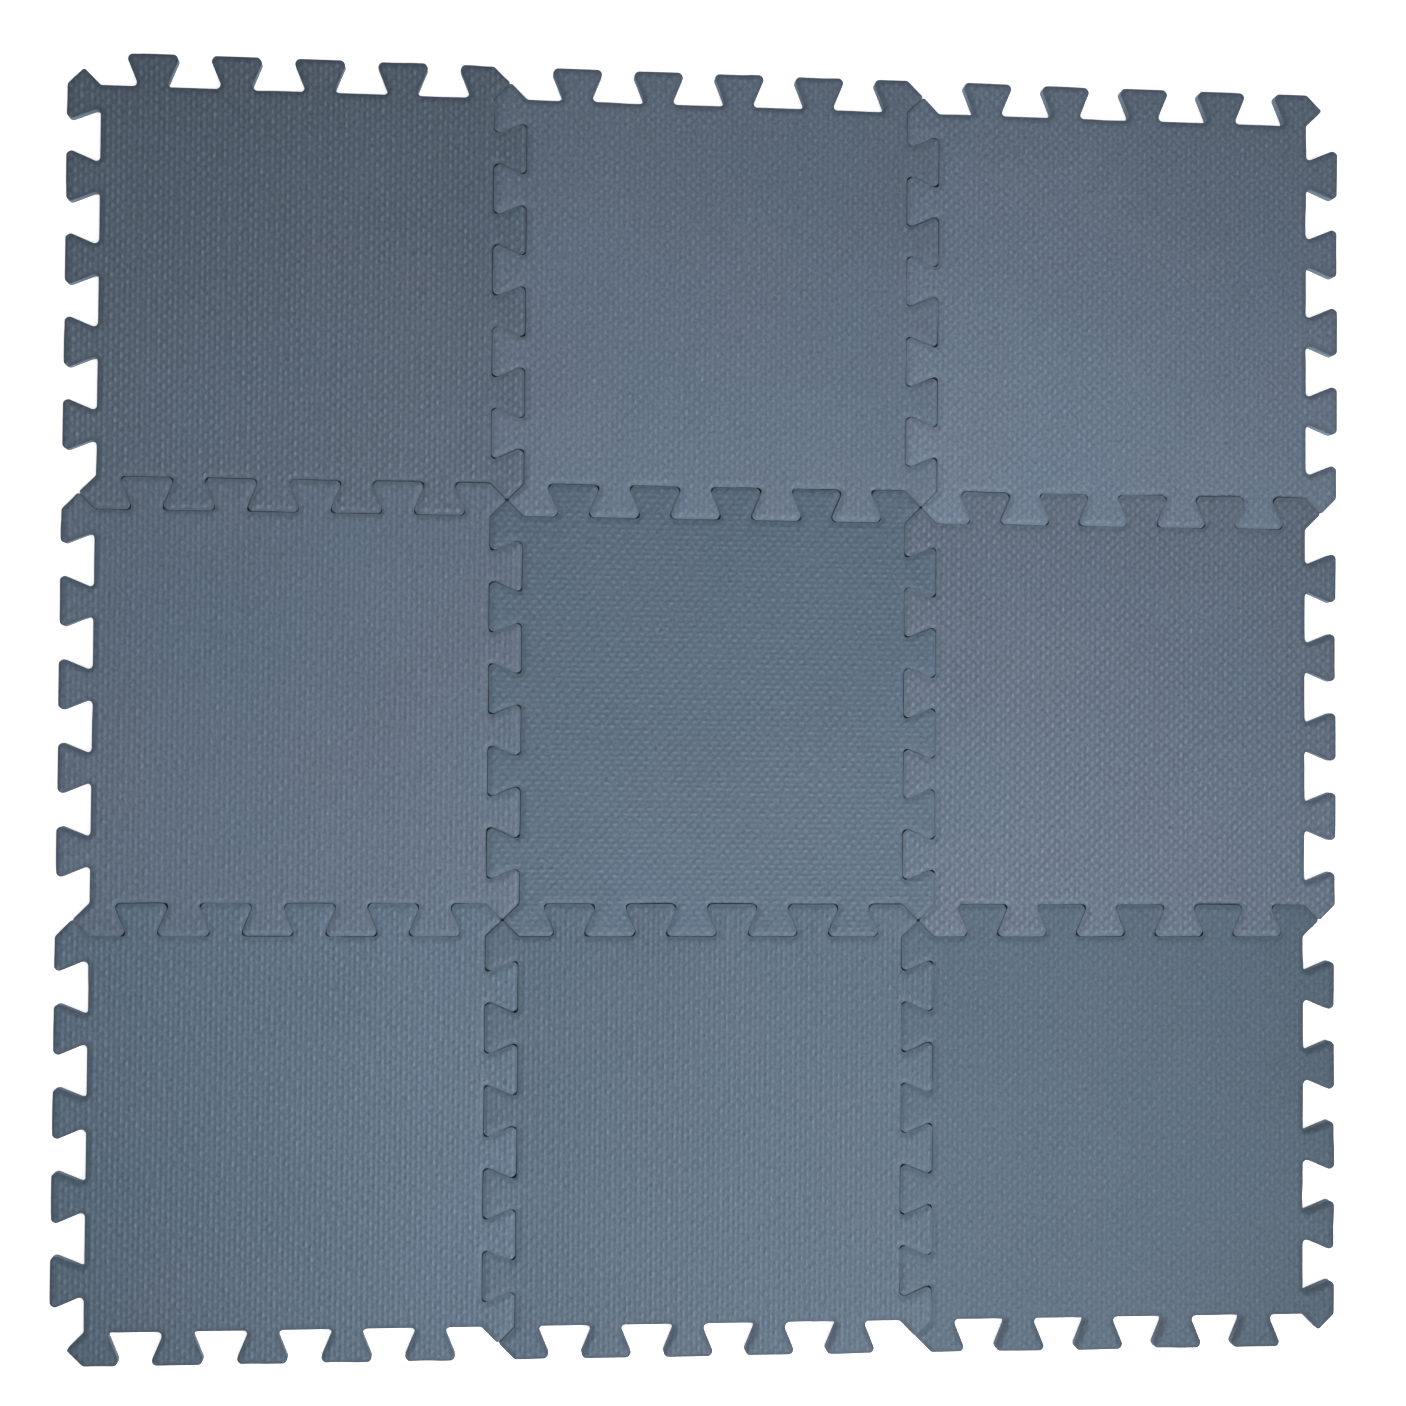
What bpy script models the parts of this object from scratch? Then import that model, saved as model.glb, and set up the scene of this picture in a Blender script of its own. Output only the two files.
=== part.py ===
"""Blocking mats: nine interlocking foam tiles, laid three by three.

Metres, +Z up. The origin is under the middle of the centre tile, on the surface that the mats
lie on. +Y points to the back row. All tiles are cut to one outline, which is the same on all
four sides, so any tile fits any other, whichever way it is turned.
"""

import math

import bpy
from mathutils import Vector

# Driving dimensions.
TILE = 0.300  # one tile's square, which is also the pitch of the tiles
THICKNESS = 0.010
TAB_PITCH = 0.0586
TAB_TIP = 0.0391  # width across a tab's tip, before its corners are rounded
TAB_DEPTH = 0.0234
TABS_A_SIDE = 5  # the last of them forms the tile's corner
TAB_RADIUS = 0.0035
CORNER_RADIUS = 0.0015  # at the point where four tiles meet
GAP = 0.0003  # between two tiles

# What follows from them. The material between two tabs is as wide as a neighbour's tab.
TAB_NECK = TAB_PITCH - TAB_TIP
HALF_DEPTH = TAB_DEPTH / 2
FIRST_TAB = (TILE - (TABS_A_SIDE - 1.5) * TAB_PITCH) / 2
ARC_STEP = math.radians(40)  # largest turn between two points of a rounded corner

FOAM_ROUGHNESS = 0.7
FOAM_BLUE = (0.125, 0.160, 0.210)
COLUMNS = {"left": -1, "centre": 0, "right": 1}
ROWS = {"front": -1, "middle": 0, "back": 1}
# How much lighter or darker each tile is than the foam's colour, one row of tiles a line.
SHADES = {
    "front": {"left": 1.02, "centre": 1.10, "right": 1.02},
    "middle": {"left": 0.99, "centre": 1.03, "right": 1.10},
    "back": {"left": 0.80, "centre": 0.97, "right": 1.01},
}


def clear_scene():
    for obj in list(bpy.data.objects):
        bpy.data.objects.remove(obj, do_unlink=True)


def side_corners():
    """Sharp corners of one side, as distance along the side and height above its line."""
    low, high = -HALF_DEPTH, HALF_DEPTH
    corners = [(HALF_DEPTH, low)]
    for tab in range(TABS_A_SIDE):
        middle = FIRST_TAB + tab * TAB_PITCH
        corners.append((middle - TAB_NECK / 2, low))
        corners.append((middle - TAB_TIP / 2, high))
        if tab < TABS_A_SIDE - 1:
            corners.append((middle + TAB_TIP / 2, high))
            corners.append((middle + TAB_NECK / 2, low))
    corners.append((TILE - HALF_DEPTH, high))
    corners.append((TILE, 0.0))
    return corners


def sharp_outline():
    """The tile's corners with their radii, anticlockwise: four sides, each turned 90 degrees."""
    points = []
    for quarter in range(4):
        turn = -quarter * math.pi / 2
        for along, out in side_corners():
            x, y = along - TILE / 2, TILE / 2 + out
            point = Vector((
                x * math.cos(turn) - y * math.sin(turn),
                x * math.sin(turn) + y * math.cos(turn),
            ))
            radius = CORNER_RADIUS if out == 0.0 else TAB_RADIUS
            points.append((point, radius))
    points.reverse()
    return points


def turn_between(before, after):
    """Angle from one direction to the next, positive to the left."""
    return math.atan2(before.x * after.y - before.y * after.x, before.dot(after))


def rounded_outline(inset):
    """The outline moved inwards by inset, with each corner an arc."""
    corners = sharp_outline()
    outline = []
    for index, (here, radius) in enumerate(corners):
        before = (here - corners[index - 1][0]).normalized()
        after = (corners[(index + 1) % len(corners)][0] - here).normalized()
        turn = turn_between(before, after)
        # An arc that bulges outwards tightens as the outline moves in, and a hollow one opens.
        bend = math.copysign(1.0, turn)
        arc_radius = radius - bend * inset
        inwards = Vector((-before.y, before.x))
        reach = radius * math.tan(abs(turn) / 2)
        centre = here - before * reach + inwards * bend * radius
        start = -inwards * bend
        steps = math.ceil(abs(turn) / ARC_STEP)
        for step in range(steps + 1):
            angle = turn * step / steps
            spoke = Vector((
                start.x * math.cos(angle) - start.y * math.sin(angle),
                start.x * math.sin(angle) + start.y * math.cos(angle),
            ))
            outline.append(centre + spoke * arc_radius)
    return outline


def tile_curve():
    """One tile as a filled outline with the foam's thickness."""
    curve = bpy.data.curves.new("tile_outline", "CURVE")
    curve.dimensions = "2D"
    curve.fill_mode = "BOTH"
    curve.extrude = THICKNESS / 2
    outline = rounded_outline(GAP / 2)
    spline = curve.splines.new("POLY")
    spline.points.add(len(outline) - 1)
    for point, place in zip(spline.points, outline):
        point.co = (place.x, place.y, 0.0, 1.0)
    spline.use_cyclic_u = True
    return curve


def foam_material(name, shade):
    material = bpy.data.materials.new(name)
    material.use_nodes = True
    shader = material.node_tree.nodes["Principled BSDF"]
    red, green, blue = (channel * shade for channel in FOAM_BLUE)
    shader.inputs["Base Color"].default_value = (red, green, blue, 1.0)
    shader.inputs["Roughness"].default_value = FOAM_ROUGHNESS
    shader.inputs["Metallic"].default_value = 0.0
    return material


def add_tile(name, column, row, shade, curve, collection):
    tile = bpy.data.objects.new(name, curve)
    tile.location = (column * TILE, row * TILE, THICKNESS / 2)
    collection.objects.link(tile)
    tile.material_slots[0].link = "OBJECT"
    tile.material_slots[0].material = foam_material(f"{name}_foam", shade)


def main():
    clear_scene()
    collection = bpy.data.collections.new("blocking_mats")
    bpy.context.scene.collection.children.link(collection)
    curve = tile_curve()
    curve.materials.append(None)
    for row_name, row in ROWS.items():
        for column_name, column in COLUMNS.items():
            name = f"tile_{row_name}_{column_name}"
            add_tile(name, column, row, SHADES[row_name][column_name], curve, collection)


main()
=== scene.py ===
"""Looks of the blocking mats: nine embossed foam tiles, locked together by dovetail tabs."""

import math

import bpy
import numpy as np
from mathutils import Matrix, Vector, kdtree
from mathutils.geometry import delaunay_2d_cdt


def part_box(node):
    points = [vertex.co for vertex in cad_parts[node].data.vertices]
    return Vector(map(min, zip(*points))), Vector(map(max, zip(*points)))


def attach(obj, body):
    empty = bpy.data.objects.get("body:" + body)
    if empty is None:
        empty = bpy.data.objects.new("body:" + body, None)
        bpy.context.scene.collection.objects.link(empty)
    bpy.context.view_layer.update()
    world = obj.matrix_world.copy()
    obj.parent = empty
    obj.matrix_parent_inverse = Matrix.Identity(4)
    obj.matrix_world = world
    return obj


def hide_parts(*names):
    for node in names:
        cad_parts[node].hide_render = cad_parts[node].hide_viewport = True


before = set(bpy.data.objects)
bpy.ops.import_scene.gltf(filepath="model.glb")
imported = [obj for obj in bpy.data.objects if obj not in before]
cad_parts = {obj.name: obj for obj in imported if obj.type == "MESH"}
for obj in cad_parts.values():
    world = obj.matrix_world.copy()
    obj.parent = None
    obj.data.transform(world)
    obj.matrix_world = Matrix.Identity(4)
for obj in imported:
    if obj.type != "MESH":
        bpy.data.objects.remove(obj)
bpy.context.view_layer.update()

MILLIMETRE = 0.001

# The tiles as the CAD model has them, in metres.
ROWS = {"front": -1, "middle": 0, "back": 1}
COLUMNS = {"left": -1, "centre": 0, "right": 1}
MIDDLE_LOW, MIDDLE_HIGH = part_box("tile_middle_centre")
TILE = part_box("tile_middle_right")[0].x - MIDDLE_LOW.x
THICKNESS = MIDDLE_HIGH.z - MIDDLE_LOW.z
GAP = 0.0003
TAB_PITCH = 0.0586
TAB_TIP = 0.0391
TAB_DEPTH = MIDDLE_HIGH.x - MIDDLE_LOW.x - TILE + GAP
TABS_A_SIDE = 5
TAB_RADIUS = 0.0035
CORNER_RADIUS = 0.0015

# How the foam's own corners differ from the CAD model's: rounder tips, sharper nooks.
TIP_ROUNDER = 0.0004
NOOK_SHARPER = 0.0010

# The outline's fineness.
LOOP_STEP = 0.0016
ARC_STEP = math.radians(16)

# What the triangulation is asked for: only what lies inside, and how near is the same point.
ONLY_INSIDE = 1
SAME_POINT = 1e-7

# The rolled edge: how far in the top starts to fall, how far it falls, and the curve's power.
ROLL = 0.0042
ROLL_DROP = 0.0015
ROLL_POWER = 1.5
# The smooth band along the wall: its width, where its rings are from the face to the wall, and
# how much of the cut foam each of them shows.
RIM = 0.0018
RIM_STEPS = (1.0, 0.7, 0.4, 0.15, 0.0)
RIM_CUT = (0.0, 0.0, 0.0, 0.1, 0.6)
CORNER_RIM = 0.45  # its width at the tile's corners, as a share of RIM
CORNER_REACH = 0.008  # how far from a corner it is back to its full width
# The wall and the lower edge, as distance in from the wall and height above the floor, and again
# how much of the cut foam each ring shows.
WALL_RINGS = (
    (0.00005, THICKNESS - 0.0028), (0.00012, THICKNESS * 0.5), (0.0, 0.0007), (0.00018, 0.00018),
    (0.0006, 0.0),
)
WALL_CUT = (1.0, 1.0, 1.0, 0.7, 0.0)

# The embossed grains: rice shapes in columns, each column half a grain along from the next.
COLUMN_PITCH = 0.0037
GRAIN_PITCH = 0.00704
GRAIN_HALF_WIDTH = 0.00165
GRAIN_HALF_LENGTH = 0.00355
GRAIN_HEIGHT = 0.0006
UNEVEN = 0.4  # how much the height of the grains varies
UNEVEN_LENGTH = 0.007
RING_POINTS = 8  # round each grain
SHOULDER = 0.6  # where a grain's side turns into its back, as a share of its size
BACK = 0.2  # how far from its middle its back's two points are, as a share of its half length
CLEAR_OF_EDGE = 0.0005  # from a grain's points to the rolled edge

# How the foam lies: tiles a little out of line, seams that open, edges that curl, a top that waves.
SHIFTS = {  # of each tile, in millimetres
    "back": {"left": (-0.1, 0.3), "centre": (0.5, 0.3), "right": (0.8, 0.2)},
    "middle": {"left": (-0.5, -0.1), "centre": (0.1, 0.1), "right": (0.4, 0.1)},
    "front": {"left": (-0.8, -0.2), "centre": (-0.2, -0.2), "right": (-0.2, 0.0)},
}
SEAM_OPENING = 0.0012
SEAM_LENGTH = 0.06  # how far along a seam its openings come and go
SEAM_STAYS_SHUT = 0.3  # how much of its ripple leaves it shut
SEAM_CLOSING = 0.00013  # where two tiles touch, how far each closes the CAD model's gap
SEAM_SHOWS = 0.7  # how much of an opening is left between the upper edges
WIDE_SEAM = 0.0007  # an opening at which the edges have rolled all the way
PRESSED_ROLL = 0.85  # how far an edge has rolled where two tiles touch
# The two below set painted shade: a darker foam colour mixed into the rolled edge, round the set
# and along its seams.
PAINTED_OUTER_SHADE = 1.15  # how dark the rolled edge gets round the set, and in its seams
PAINTED_SEAM_SHADE = 0.25
EASE_LENGTH = 0.05  # how far apart the corners are that differ in roundness
EASE_MEAN = 0.8
EASE_SWING = 0.5
EASE_RANGE = (0.1, 1.5)
CURL = 0.0008
CURL_LENGTH = 0.16
CURL_FROM = 0.36  # where the curl begins and how far it takes to grow, as shares of the tile
CURL_OVER = 0.18
CURL_MEAN = 0.5
CURL_MOST = 1.5
WAVE = 0.00012
WAVE_LENGTH = 0.09
SKIN = 0.00002  # the skin's fine unevenness
SKIN_LENGTH = 0.003
RIPPLE_WAVES = 7  # in each ripple, and the range of their lengths as shares of the ripple's
RIPPLE_SPREAD = (0.7, 1.4)
UNDERSIDE_STEP = 0.015
UNDERSIDE_REACH = TILE * 0.55  # how far from the middle its inner points go

# Foam colours, as linear light. A tile's tone multiplies them.
FOAM = (0.099, 0.152, 0.211)
MAUVE = (0.126, 0.153, 0.206)
# The darker colour painted along the rolled edges as shade.
PAINTED_EDGE_SHADE_COLOUR = (0.050, 0.074, 0.112)
CUT = (0.122, 0.166, 0.216)
TONES = {
    "back": {"left": 0.88, "centre": 1.04, "right": 1.20},
    "middle": {"left": 0.925, "centre": 0.86, "right": 0.99},
    "front": {"left": 0.905, "centre": 0.77, "right": 0.715},
}
# How much of each tile's colour is mauve.
MAUVE_SHARES = {
    "back": {"left": 0.55, "centre": 0.5, "right": 0.5},
    "middle": {"left": 0.45, "centre": 0.1, "right": 0.55},
    "front": {"left": 0.1, "centre": 0.1, "right": 0.0},
}
# Painted shade: how much darker a row's foam gets towards the back, per metre.
BACKWARD_PAINTED_SHADE = {"back": 0.55, "middle": 0.1, "front": 0.0}
# How deeply each tile is embossed, times the grain's height.
EMBOSS = {
    "back": {"left": 1.33, "centre": 0.85, "right": 0.92},
    "middle": {"left": 0.95, "centre": 0.75, "right": 1.2},
    "front": {"left": 1.15, "centre": 1.1, "right": 0.83},
}
# How far each tile's grains run together into columns. Below 0, there are dips at their ends.
FUSED = {
    "back": {"left": 0.15, "centre": -0.05, "right": -0.2},
    "middle": {"left": 0.5, "centre": -0.15, "right": -0.15},
    "front": {"left": 0.4, "centre": 0.4, "right": 0.1},
}
# Quarter turns of each tile on the floor. An odd number lays the grain crosswise.
QUARTER_TURNS = {
    "back": {"left": 0, "centre": 2, "right": 2},
    "middle": {"left": 2, "centre": 3, "right": 0},
    "front": {"left": 0, "centre": 0, "right": 2},
}

# The foam's textures. First how fine they are, per metre.
HUE_SCALE = 7.0
BROAD_SCALE = 9.0
PATCH_SCALE = 70.0
CREASE_SCALE = 420.0
SPECK_SCALE = 1400.0
CELL_SCALE = 1700.0
# How far each changes the foam's tone or hue.
HUE_SWING = 0.5
BROAD_TONE = 0.08
PATCH_TONE = 0.06
CREASE_TONE = 0.45
SPECK_TONE = 0.16
# Painted shade and highlight: the grooves are drawn darker and the grain tops lighter, by the
# grain's height.
GROOVE_PAINTED_SHADE = 0.32  # times how deeply the tile is embossed
GRAIN_MEAN = 0.3  # the grain's height at which it changes nothing
# The painted shade on the rolled edge, and the cut's pores: how strong they are, and how much a
# texture moves that.
PAINTED_EDGE_SHADE_STRENGTH = 0.6
PAINTED_EDGE_SHADE_PATCH = 0.25
PORES = 0.62
PORE_CELLS = 0.9
PORE_SPECK = 0.12
# How rough the grooves are, and what the grains, the patches and the cut add to that.
ROUGHNESS = 0.66
GRAIN_ROUGH = -0.10
PATCH_ROUGH = 0.06
CUT_ROUGH = 0.20
SPECULAR = 0.3
# The heights of what is too fine for the mesh, in metres.
SPECK_HEIGHT = 0.000018
CREASE_HEIGHT = 0.00005
CELL_HEIGHT = 0.00012

# The floor: its glow close to the set, where that starts and is full, as distances in from the
# tiles' outer line, and its shape.
FLOOR_GLOW = 0.75
GLOW_FROM = 0.030
GLOW_TO = 0.013
FLOOR_BELOW = 0.0003
FLOOR_RADIUS = 5.0
SWEEP_RADIUS = 2.4
FLOOR_SIDES = 96
WHITE = (1.0, 1.0, 1.0, 1.0)
FLOOR_WHITE = (0.95, 0.95, 0.95, 1.0)

# The lights: place, target and power. The sun's power is per square metre.
KEY = ((0.55, -1.35, 1.6), (0.02, -0.15, 0.0), 195.0)
OVERHEAD = ((0.3, 0.0, 2.4), (0.0, 0.0, 0.0), 7.0)
SIDE = ((2.0, 0.0, 0.93), (0.0, 0.0, 0.0), 0.42)
WORLD_LIGHT = 0.205

# The camera: its place, its turn in degrees and its lens in millimetres.
CAMERA_PLACE = (-0.1726, -0.0318, 1.6988)
CAMERA_TURN = (1.23, -5.58, 0.45)
CAMERA_LENS = 60.4


# ---- outline -------------------------------------------------------------------------------

def side_corners():
    """Sharp corners of one side, as distance along it, height above its line, and radius."""
    low, high = -TAB_DEPTH / 2, TAB_DEPTH / 2
    neck = TAB_PITCH - TAB_TIP
    # Each tab meets the gap that is as far from the side's other end, so the first tab is as far
    # from one end as the last gap is from the other.
    first = (TILE - (TABS_A_SIDE - 1.5) * TAB_PITCH) / 2
    corners = [(high, low, TAB_RADIUS)]
    for tab in range(TABS_A_SIDE):
        middle = first + tab * TAB_PITCH
        corners.append((middle - neck / 2, low, TAB_RADIUS))
        corners.append((middle - TAB_TIP / 2, high, TAB_RADIUS))
        if tab < TABS_A_SIDE - 1:
            corners.append((middle + TAB_TIP / 2, high, TAB_RADIUS))
            corners.append((middle + neck / 2, low, TAB_RADIUS))
    corners.append((TILE - high, high, TAB_RADIUS))
    corners.append((TILE, 0.0, CORNER_RADIUS))
    return corners


def turned(vector, angle):
    return Vector((
        vector.x * math.cos(angle) - vector.y * math.sin(angle),
        vector.x * math.sin(angle) + vector.y * math.cos(angle),
    ))


def sharp_outline():
    corners = []
    for quarter in range(4):
        for along, out, radius in side_corners():
            point = Vector((along - TILE / 2, TILE / 2 + out))
            corners.append((turned(point, -quarter * math.pi / 2), radius))
    return corners[::-1]


def corner_arc(before, here, after, radius):
    """Points, outward normals and easing of one rounded corner, between two directions."""
    turn = math.atan2(before.x * after.y - before.y * after.x, before.dot(after))
    bend = math.copysign(1.0, turn)
    inwards = Vector((-before.y, before.x))
    centre = here - before * radius * math.tan(abs(turn) / 2) + inwards * bend * radius
    steps = math.ceil(abs(turn) / ARC_STEP)
    ease = (TIP_ROUNDER if bend > 0 else NOOK_SHARPER) * (1 / math.cos(turn / 2) - 1)
    points, normals, eases = [], [], []
    for step in range(steps + 1):
        spoke = turned(-inwards * bend, turn * step / steps)
        points.append(centre + spoke * radius)
        normals.append(spoke * bend)
        eases.append(ease * math.sin(math.pi * step / steps) ** 2)
    return points, normals, eases


def outline():
    """The tile's outline, anticlockwise, as arrays of points, outward normals and easing."""
    corners = sharp_outline()
    points, normals, eases = [], [], []
    for index, (here, radius) in enumerate(corners):
        before = (here - corners[index - 1][0]).normalized()
        after = (corners[(index + 1) % len(corners)][0] - here).normalized()
        arc, arc_normals, arc_eases = corner_arc(before, here, after, radius)
        if points:
            fill_straight(points, normals, eases, arc[0], arc_normals[0])
        points += arc
        normals += arc_normals
        eases += arc_eases
    fill_straight(points, normals, eases, points[0], normals[0])
    return np.array(points), np.array(normals), np.array(eases)


def fill_straight(points, normals, eases, end, normal):
    """Adds the points between the last one and end, along a straight stretch."""
    start = points[-1]
    steps = math.ceil((end - start).length / LOOP_STEP)
    for step in range(1, steps):
        points.append(start.lerp(end, step / steps))
        normals.append(normal.copy())
        eases.append(0.0)


# ---- emboss --------------------------------------------------------------------------------

def grain_lift(x, y):
    """Height of the grains, and of columns of the same width, from 0 in the grooves to 1."""
    grain, ridge = np.full(x.shape, 1.0), np.full(x.shape, 1.0)
    for beside in (-1, 0, 1):
        column = np.round(x / COLUMN_PITCH) + beside
        shift = 0.5 * (column % 2)
        row = np.round(y / GRAIN_PITCH - shift) + shift
        across = (x - column * COLUMN_PITCH) / GRAIN_HALF_WIDTH
        along = (y - row * GRAIN_PITCH) / GRAIN_HALF_LENGTH
        grain = np.minimum(grain, np.hypot(across, along))
        ridge = np.minimum(ridge, abs(across))
    return np.cos(grain * math.pi / 2) ** 2, np.cos(ridge * math.pi / 2) ** 2


def grain_ring(share):
    """Points round a grain's middle, at one share of its size."""
    angle = math.pi * (np.arange(RING_POINTS) + 0.5) / (RING_POINTS / 2)
    reach = np.array((GRAIN_HALF_WIDTH, GRAIN_HALF_LENGTH)) * share
    return np.column_stack([np.cos(angle), np.sin(angle)]) * reach


def grain_points():
    """Points of all grains in a square that covers the tile, with the edges of their rings."""
    reach = (TILE + TAB_DEPTH) / 2
    columns = np.arange(-int(reach / COLUMN_PITCH) - 1, int(reach / COLUMN_PITCH) + 2)
    rows = np.arange(-int(reach / GRAIN_PITCH) - 1, int(reach / GRAIN_PITCH) + 2)
    column, row = (grid.ravel() for grid in np.meshgrid(columns, rows))
    middles = np.column_stack([column * COLUMN_PITCH, (row + 0.5 * (column % 2)) * GRAIN_PITCH])
    back = np.array([(0.0, -BACK * GRAIN_HALF_LENGTH), (0.0, BACK * GRAIN_HALF_LENGTH)])
    shape = np.concatenate([grain_ring(1.0), grain_ring(SHOULDER), back])
    points = (middles[:, None] + shape).reshape(-1, 2)
    step = np.arange(RING_POINTS)
    ring = np.column_stack([step, (step + 1) % RING_POINTS])
    rings = np.concatenate([ring, ring + RING_POINTS])
    edges = (rings + len(shape) * np.arange(len(middles))[:, None, None]).reshape(-1, 2)
    return points, edges


def depth_within(points, loop, normals):
    """How far each point lies inside the loop, and which of the loop's points is nearest."""
    tree = kdtree.KDTree(len(loop))
    for index, place in enumerate(loop):
        tree.insert((place[0], place[1], 0.0), index)
    tree.balance()
    nearest = np.array([tree.find((x, y, 0.0))[1] for x, y in points])
    return ((loop[nearest] - points) * normals[nearest]).sum(1), nearest


# ---- one tile's mesh -----------------------------------------------------------------------

def filled(loop, inner, edges):
    """Triangles between a loop and the points inside it, as indices into loop and then inner."""
    size = len(loop)
    points = [Vector(p) for p in np.concatenate([loop, inner])]
    around = [(i, (i + 1) % size) for i in range(size)]
    constraints = around + [(a + size, b + size) for a, b in edges]
    made = delaunay_2d_cdt(points, constraints, [list(range(size))], ONLY_INSIDE, SAME_POINT)
    origin = [sources[0] for sources in made[3]]
    return np.array([[origin[corner] for corner in face] for face in made[2]])


def top_inner(loop, normals):
    """The emboss's points inside the smooth band, with their edges, depths and nearest in loop."""
    points, edges = grain_points()
    depths, nearest = depth_within(points, loop, normals)
    kept = depths > CLEAR_OF_EDGE
    number = np.cumsum(kept) - 1
    edges = edges[kept[edges].all(1)]
    return points[kept], number[edges], depths[kept], nearest[kept]


def underside_inner(loop, normals):
    """A coarse grid of points inside the lower edge."""
    steps = np.arange(-UNDERSIDE_REACH, UNDERSIDE_REACH, UNDERSIDE_STEP)
    points = np.array([(x, y) for x in steps for y in steps])
    return points[depth_within(points, loop, normals)[0] > UNDERSIDE_STEP / 3]


def strips(ring_count, size):
    """Quads between each loop and the next, all of the same size."""
    here = np.arange(size)
    following = (here + 1) % size
    quads = []
    for ring in range(ring_count - 1):
        upper, lower = ring * size, (ring + 1) * size
        corners = [upper + following, upper + here, lower + here, lower + following]
        quads.append(np.stack(corners, 1))
    return np.concatenate(quads)


def rim_share(points):
    """How wide the rolled edge is along the outline: narrower close to the tile's corners."""
    distance = np.hypot(*(abs(points) - TILE / 2).T)
    return np.clip(distance / CORNER_REACH, CORNER_RIM, 1)


def tile_parts():
    """A flat tile: its faces and, for each vertex, place, height, normal, depth and kind."""
    points, normals, eases = outline()
    size = len(points)
    rings = [(step * RIM, THICKNESS) for step in RIM_STEPS] + list(WALL_RINGS)
    share = rim_share(points)
    places = [points - normals * (GAP / 2 + depth * share)[:, None] for depth, _ in rings]
    top_loop, low_loop = places[0], places[-1]
    top, top_edges, top_depth, nearest = top_inner(top_loop, normals)
    low = underside_inner(low_loop, normals)
    last = (len(rings) - 1) * size
    start_top, start_low = len(rings) * size, len(rings) * size + len(top)

    top_faces = filled(top_loop, top, top_edges)
    top_faces = np.where(top_faces < size, top_faces, top_faces - size + start_top)
    low_faces = filled(low_loop, low, [])[:, ::-1]
    low_faces = np.where(low_faces < size, low_faces + last, low_faces - size + start_low)

    def by_ring(ring_values, on_top, below):
        """One value for each ring's vertices, then the values of the top and of the underside."""
        return np.concatenate([
            np.repeat(ring_values, size),
            np.broadcast_to(on_top, len(top)),
            np.full(len(low), below),
        ])

    uppers = [1.0] * len(RIM_STEPS) + [0.0] * len(WALL_RINGS)
    return {
        "place": np.concatenate(places + [top, low]),
        "normal": np.concatenate([
            np.tile(normals, (len(rings), 1)), normals[nearest], np.zeros((len(low), 2)),
        ]),
        "ease": np.concatenate([np.tile(eases, len(rings)), eases[nearest], np.zeros(len(low))]),
        "height": by_ring([height for _, height in rings], THICKNESS, 0.0),
        "depth": by_ring([depth for depth, _ in rings], RIM + top_depth, ROLL),
        "upper": by_ring(uppers, 1.0, 0.0),
        "wall": by_ring(RIM_CUT + WALL_CUT, 0.0, 0.0),
        "triangles": np.concatenate([top_faces, low_faces]),
        "quads": strips(len(rings), size),
    }


def add_attribute(mesh, name, values):
    attribute = mesh.attributes.new(name, "FLOAT", "POINT")
    attribute.data.foreach_set("value", values.astype(np.float32))


def base_mesh(part):
    """The shared faces and attributes of a tile. Each tile then gets its own copy and shape."""
    x, y = part["place"].T
    smooth = np.clip(1 - part["depth"] / RIM, 0, 1)
    part["grain"], part["ridge"] = (lift * (1 - smooth) ** 0.5 for lift in grain_lift(x, y))
    part["rolled"] = np.clip(1 - part["depth"] / ROLL, 0, 1)
    part["drop"] = ROLL_DROP * part["rolled"] ** ROLL_POWER * part["upper"]
    part["relief"] = GRAIN_HEIGHT * part["upper"] * (1 - smooth)
    mesh = bpy.data.meshes.new("tile_foam")
    vertices = np.column_stack([part["place"], part["height"]])
    faces = part["triangles"].tolist() + part["quads"].tolist()
    mesh.from_pydata(vertices.tolist(), [], faces)
    add_attribute(mesh, "wall", part["wall"])
    mesh.shade_smooth()
    return mesh


def ripples(x, y, seed, length):
    """Smooth noise between about -1 and 1, as a sum of waves of about that length."""
    rng = np.random.default_rng(seed)
    total = np.zeros(x.shape)
    for _ in range(RIPPLE_WAVES):
        angle, phase = rng.uniform(0, 2 * math.pi, 2)
        number = 2 * math.pi / (length * rng.uniform(*RIPPLE_SPREAD))
        total += np.sin(number * (x * math.cos(angle) + y * math.sin(angle)) + phase)
    return total / math.sqrt(RIPPLE_WAVES)


def quarter_turned(vectors, quarters):
    """Vectors in the plane, turned by a number of quarter turns."""
    for _ in range(quarters % 4):
        vectors = np.column_stack([-vectors[:, 1], vectors[:, 0]])
    return vectors


def pull_apart(part, row_name, column_name):
    """How far each edge point's neighbour stands away from it, below 0 where the two press."""
    shifts = np.full((5, 5, 2), np.nan)
    for name, row in ROWS.items():
        for other, column in COLUMNS.items():
            shifts[row + 2, column + 2] = SHIFTS[name][other]
    row, column = ROWS[row_name] + 2, COLUMNS[column_name] + 2
    quarters = QUARTER_TURNS[row_name][column_name]
    normal = quarter_turned(part["normal"], quarters)
    # A point a millimetre past the edge tells which neighbour the edge faces.
    outwards = normal * (part["depth"] + MILLIMETRE)[:, None]
    beyond = quarter_turned(part["place"], quarters) + outwards
    sideways = abs(beyond[:, 0]) > abs(beyond[:, 1])
    step = np.sign(beyond).astype(int)
    other_row = row + np.where(sideways, 0, step[:, 1])
    other_column = column + np.where(sideways, step[:, 0], 0)
    apart = shifts[other_row, other_column] - shifts[row, column]
    return (apart * normal).sum(1) * MILLIMETRE


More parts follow.
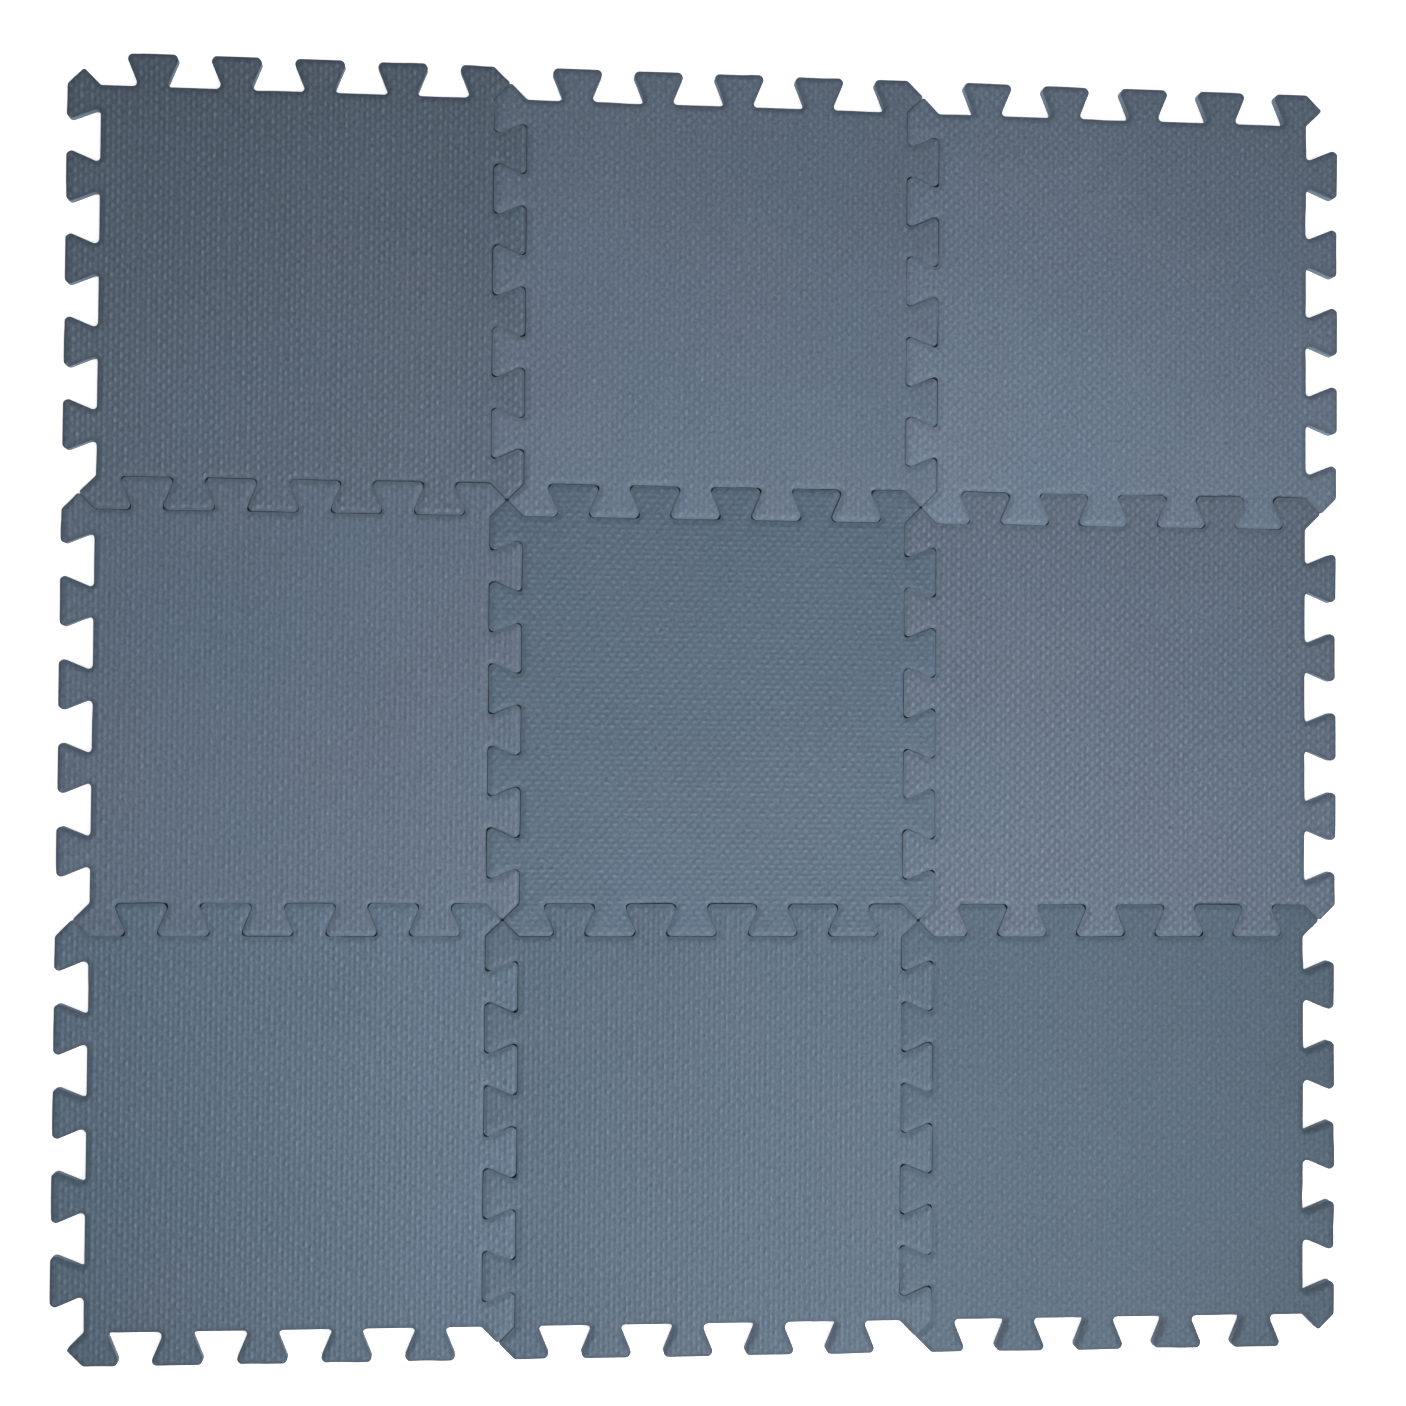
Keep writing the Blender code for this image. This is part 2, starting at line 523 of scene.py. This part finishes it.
def at_the_edge(part, row_name, column_name, seed):
    """Each vertex's place once the seams open or close, how far its edge rolls, and its painted
    shade.
    """
    x, y = part["place"].T
    pull = pull_apart(part, row_name, column_name)
    outer = np.isnan(pull)
    pull = np.where(outer, 0.0, pull)
    loose = SEAM_OPENING * np.clip(ripples(x, y, seed, SEAM_LENGTH) - SEAM_STAYS_SHUT, 0, 1)
    rolled = PRESSED_ROLL + (1 - PRESSED_ROLL) * np.clip((pull + loose) / WIDE_SEAM, 0, 1)
    rolled = np.where(outer, 1.0, rolled)
    # Pressed tiles give way. Tiles pulled apart reach out, but for what shows of the opening.
    shows = SEAM_SHOWS * part["upper"]
    pressed = np.clip(-pull, 0, 1) - np.clip(pull, 0, 1) * (1 - shows)
    roundness = EASE_MEAN + EASE_SWING * ripples(x, y, seed + 5, EASE_LENGTH)
    eased = part["ease"] * np.clip(roundness, *EASE_RANGE)
    recess = (loose * shows + pressed) / 2 - SEAM_CLOSING + eased
    place = part["place"] - part["normal"] * (recess * part["rolled"])[:, None]
    # Painted shade along the seams and round the set, as a share of the darker edge colour.
    painted_shade_in_seam = PAINTED_SEAM_SHADE * rolled * part["rolled"]
    shade = np.where(outer, PAINTED_OUTER_SHADE * part["rolled"] ** 0.5, painted_shade_in_seam)
    return place, rolled, shade


def bent(part, seed):
    """How far curl, waves and the skin's unevenness raise each vertex."""
    x, y = part["place"].T
    from_middle = np.maximum(abs(x), abs(y)) / TILE
    outwards = np.clip((from_middle - CURL_FROM) / CURL_OVER, 0, 1) ** 2
    uneven = np.clip(CURL_MEAN + ripples(x, y, seed + 1, CURL_LENGTH), 0, CURL_MOST)
    curl = CURL * outwards * uneven
    wave = WAVE * ripples(x, y, seed + 2, WAVE_LENGTH) * part["upper"]
    return curl + wave + SKIN * ripples(x, y, seed + 3, SKIN_LENGTH)


def shaped(part, row_name, column_name, seed):
    """One tile's vertices, in its own frame, and the grain's height and edge's painted shade at
    each.
    """
    emboss, fused = EMBOSS[row_name][column_name], FUSED[row_name][column_name]
    lift = part["grain"] * (1 - fused) + part["ridge"] * fused
    lift = lift * (1 + UNEVEN * ripples(*part["place"].T, seed + 4, UNEVEN_LENGTH))
    grooves = emboss * part["relief"] * (1 - lift)
    place, rolled, shade = at_the_edge(part, row_name, column_name, seed)
    height = part["height"] - part["drop"] * rolled - grooves + bent(part, seed)
    return np.column_stack([place, height]), lift * part["upper"], shade


# ---- materials -----------------------------------------------------------------------------

class Nodes:
    """Short ways to add and link a material's nodes."""

    def __init__(self, name):
        self.material = bpy.data.materials.new(name)
        self.material.use_nodes = True
        self.tree = self.material.node_tree
        self.shader = self.tree.nodes["Principled BSDF"]

    def link(self, source, socket):
        if isinstance(source, bpy.types.NodeSocket):
            self.tree.links.new(source, socket)
        else:
            socket.default_value = source

    def add(self, kind, settings=(), **sockets):
        node = self.tree.nodes.new(kind)
        for name, value in dict(settings).items():
            setattr(node, name, value)
        for name, source in sockets.items():
            self.link(source, node.inputs[name.replace("_", " ")])
        return node

    def math(self, operation, first, second=0.0, third=0.0):
        node = self.tree.nodes.new("ShaderNodeMath")
        node.operation = operation
        for index, source in enumerate((first, second, third)):
            self.link(source, node.inputs[index])
        return node.outputs[0]

    def noise(self, place, scale, seed, detail=2.0, roughness=0.5):
        """Noise about 0, from about -1 to 1."""
        node = self.add(
            "ShaderNodeTexNoise", {"noise_dimensions": "4D"},
            Vector=place, W=seed, Scale=scale, Detail=detail, Roughness=roughness,
        )
        return self.math("MULTIPLY_ADD", node.outputs["Fac"], 2.0, -1.0)

    def attribute(self, name):
        return self.add("ShaderNodeAttribute", {"attribute_name": name}).outputs["Fac"]

    def mix(self, share, first, second):
        node = self.tree.nodes.new("ShaderNodeMix")
        node.data_type = "RGBA"
        for index, source in ((0, share), (6, first), (7, second)):
            self.link(source, node.inputs[index])
        return node.outputs[2]

    def scaled(self, colour, value):
        node = self.tree.nodes.new("ShaderNodeVectorMath")
        node.operation = "SCALE"
        self.link(colour, node.inputs[0])
        self.link(value, node.inputs["Scale"])
        return node.outputs[0]


def painted_backward_shade(n, place, row_name, column_name):
    """Painted shade: how much lighter than its tone the foam is, falling towards the back of its
    row.
    """
    turn = QUARTER_TURNS[row_name][column_name] * math.pi / 2
    backwards = tuple(-BACKWARD_PAINTED_SHADE[row_name] * part for part in (math.sin(turn), math.cos(turn), 0.0))
    back_shade = n.add("ShaderNodeVectorMath", {"operation": "DOT_PRODUCT"})
    n.link(place, back_shade.inputs[0])
    n.link(backwards, back_shade.inputs[1])
    return n.math("ADD", back_shade.outputs["Value"], 1.0)


def foam_material(name, row_name, column_name, seed):
    """Closed-cell foam: mottled, darker in the grooves and at the edge by painted shade, open cells
    at the cut.
    """
    n = Nodes(name)
    tone, emboss = TONES[row_name][column_name], EMBOSS[row_name][column_name]
    place = n.add("ShaderNodeTexCoord").outputs["Object"]
    grain, wall, painted_edge_shade = n.attribute("grain"), n.attribute("wall"), n.attribute("painted_edge_shade")
    broad = n.noise(place, BROAD_SCALE, seed, detail=3.0)
    patch = n.noise(place, PATCH_SCALE, seed + 1, detail=3.0)
    speck = n.noise(place, SPECK_SCALE, seed + 2)
    cells = n.add("ShaderNodeTexVoronoi", {}, Vector=place, Scale=CELL_SCALE).outputs["Distance"]

    # The face: how light it is, then its hue.
    # Painted shade, darker towards the back of the row.
    back_shade = painted_backward_shade(n, place, row_name, column_name)
    value = n.math("MULTIPLY_ADD", broad, BROAD_TONE, back_shade)
    value = n.math("MULTIPLY_ADD", patch, PATCH_TONE, value)
    crease = n.noise(place, CREASE_SCALE, seed + 4)
    value = n.math("MULTIPLY_ADD", crease, CREASE_TONE, value)
    value = n.math("MULTIPLY_ADD", speck, SPECK_TONE, value)
    # Painted shade in the grooves and painted highlight on the grain tops.
    raised = n.math("SUBTRACT", grain, GRAIN_MEAN)
    value = n.math("MULTIPLY_ADD", raised, GROOVE_PAINTED_SHADE * emboss, value)
    mauve_share = MAUVE_SHARES[row_name][column_name]
    hue_noise = n.noise(place, HUE_SCALE, seed + 5)
    mauve = n.math("MULTIPLY_ADD", hue_noise, HUE_SWING, mauve_share)
    hue = n.mix(mauve, *((*(c * tone for c in colour), 1.0) for colour in (FOAM, MAUVE)))
    face = n.scaled(hue, value)

    # The painted shade on the rolled edge, and the cells in the cut.
    shade = n.math("MULTIPLY", painted_edge_shade, n.math("MULTIPLY_ADD", patch, PAINTED_EDGE_SHADE_PATCH, PAINTED_EDGE_SHADE_STRENGTH))
    face = n.mix(shade, face, (*(c * tone for c in PAINTED_EDGE_SHADE_COLOUR), 1.0))
    pores = n.math("MULTIPLY_ADD", cells, PORE_CELLS, PORES)
    pores = n.math("MULTIPLY_ADD", speck, PORE_SPECK, pores)
    cut = n.scaled(tuple(c * tone for c in CUT), pores)
    n.link(n.mix(wall, face, cut), n.shader.inputs["Base Color"])

    # The grains shine a little more than the grooves, and the cut least.
    rough = n.math("MULTIPLY_ADD", grain, GRAIN_ROUGH, ROUGHNESS)
    rough = n.math("MULTIPLY_ADD", patch, PATCH_ROUGH, rough)
    rough = n.math("MULTIPLY_ADD", wall, CUT_ROUGH, rough)
    n.link(rough, n.shader.inputs["Roughness"])
    n.shader.inputs["Specular IOR Level"].default_value = SPECULAR

    # What is too fine for the mesh.
    skin = n.math("MULTIPLY", speck, SPECK_HEIGHT)
    crease = n.noise(place, CREASE_SCALE, seed + 3, detail=3.0)
    creased = n.math("MULTIPLY", crease, CREASE_HEIGHT)
    open_cells = n.math("MULTIPLY", n.math("MULTIPLY", cells, wall), CELL_HEIGHT)
    height = n.math("ADD", n.math("ADD", skin, creased), open_cells)
    bump = n.add("ShaderNodeBump", {}, Strength=1.0, Distance=1.0, Height=height)
    n.link(bump.outputs["Normal"], n.shader.inputs["Normal"])
    return n.material


# ---- the set -------------------------------------------------------------------------------

def add_tiles():
    part = tile_parts()
    mesh = base_mesh(part)
    for row_name, row in ROWS.items():
        for column_name, column in COLUMNS.items():
            body = f"{row_name}_{column_name}"
            node = f"tile_{body}"
            seed = 100 + 10 * (3 * row + column)
            own = mesh.copy()
            shape, grain, painted_edge_shade = shaped(part, row_name, column_name, seed)
            own.vertices.foreach_set("co", shape.astype(np.float32).ravel())
            add_attribute(own, "grain", grain)
            add_attribute(own, "painted_edge_shade", painted_edge_shade)
            own.materials.append(foam_material(f"foam_{body}", row_name, column_name, float(seed)))
            tile = bpy.data.objects.new(f"foam_tile_{body}", own)
            shift = SHIFTS[row_name][column_name]
            tile.location.x = column * TILE + shift[0] * MILLIMETRE
            tile.location.y = row * TILE + shift[1] * MILLIMETRE
            tile.rotation_euler.z = QUARTER_TURNS[row_name][column_name] * math.pi / 2
            bpy.context.scene.collection.objects.link(tile)
            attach(tile, body)
            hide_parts(node)
    bpy.data.meshes.remove(mesh)


# ---- studio --------------------------------------------------------------------------------

def floor_mesh():
    """A round floor whose rim sweeps up into a low wall."""
    rims = [(FLOOR_RADIUS, 0.0)]
    for angle in np.radians(np.arange(10, 91, 10)):
        out, up = SWEEP_RADIUS * math.sin(angle), SWEEP_RADIUS * (1 - math.cos(angle))
        rims.append((FLOOR_RADIUS + out, up))
    around = 2 * math.pi * np.arange(FLOOR_SIDES) / FLOOR_SIDES
    circle = np.column_stack([np.cos(around), np.sin(around)])
    points = np.concatenate([
        np.column_stack([radius * circle, np.full(FLOOR_SIDES, height)]) for radius, height in rims
    ])
    faces = [list(range(FLOOR_SIDES))] + strips(len(rims), FLOOR_SIDES)[:, ::-1].tolist()
    mesh = bpy.data.meshes.new("floor")
    mesh.from_pydata(points.tolist(), [], faces)
    return mesh


def add_floor():
    """A white floor that glows a little round the mats, so that it takes hardly any shadow."""
    floor = bpy.data.objects.new("floor", floor_mesh())
    floor.location.z = -FLOOR_BELOW
    bpy.context.scene.collection.objects.link(floor)
    n = Nodes("floor")
    place = n.add("ShaderNodeSeparateXYZ", {}, Vector=n.add("ShaderNodeTexCoord").outputs["Object"])
    across, along = (n.math("ABSOLUTE", place.outputs[axis]) for axis in ("X", "Y"))
    from_middle = n.math("MAXIMUM", across, along)
    edge = TILE * 1.5
    glow = n.add("ShaderNodeMapRange", {"interpolation_type": "SMOOTHSTEP"}, Value=from_middle)
    ends = {"From Min": edge - GLOW_FROM, "From Max": edge - GLOW_TO, "To Max": FLOOR_GLOW}
    for name, value in ends.items():
        glow.inputs[name].default_value = value
    n.link(glow.outputs["Result"], n.shader.inputs["Emission Strength"])
    n.shader.inputs["Emission Color"].default_value = WHITE
    n.shader.inputs["Base Color"].default_value = FLOOR_WHITE
    n.shader.inputs["Roughness"].default_value = 0.9
    floor.data.materials.append(n.material)


def add_light(name, kind, place, target, power):
    light = bpy.data.lights.new(name, kind)
    light.energy = power
    lamp = bpy.data.objects.new(name, light)
    lamp.location = place
    lamp.rotation_euler = (Vector(target) - Vector(place)).to_track_quat("-Z", "Y").to_euler()
    bpy.context.scene.collection.objects.link(lamp)
    return light


def add_studio():
    add_floor()
    key = add_light("key", "SPOT", *KEY)
    key.spot_size = math.radians(45)
    key.spot_blend = 1.0
    key.shadow_soft_size = 0.3
    overhead = add_light("overhead", "AREA", *OVERHEAD)
    overhead.size = 1.6
    side = add_light("side", "SUN", *SIDE)
    side.angle = math.radians(15)
    world = bpy.data.worlds.new("studio")
    world.use_nodes = True
    background = world.node_tree.nodes["Background"]
    background.inputs["Color"].default_value = WHITE
    background.inputs["Strength"].default_value = WORLD_LIGHT
    bpy.context.scene.world = world
    bpy.context.scene.view_settings.view_transform = "Standard"


def add_camera():
    camera = bpy.data.cameras.new("camera")
    camera.lens = CAMERA_LENS
    camera.sensor_width = 36.0
    holder = bpy.data.objects.new("camera", camera)
    holder.location = CAMERA_PLACE
    holder.rotation_euler = [math.radians(angle) for angle in CAMERA_TURN]
    bpy.context.scene.collection.objects.link(holder)
    bpy.context.scene.camera = holder


add_camera()
add_tiles()
add_studio()
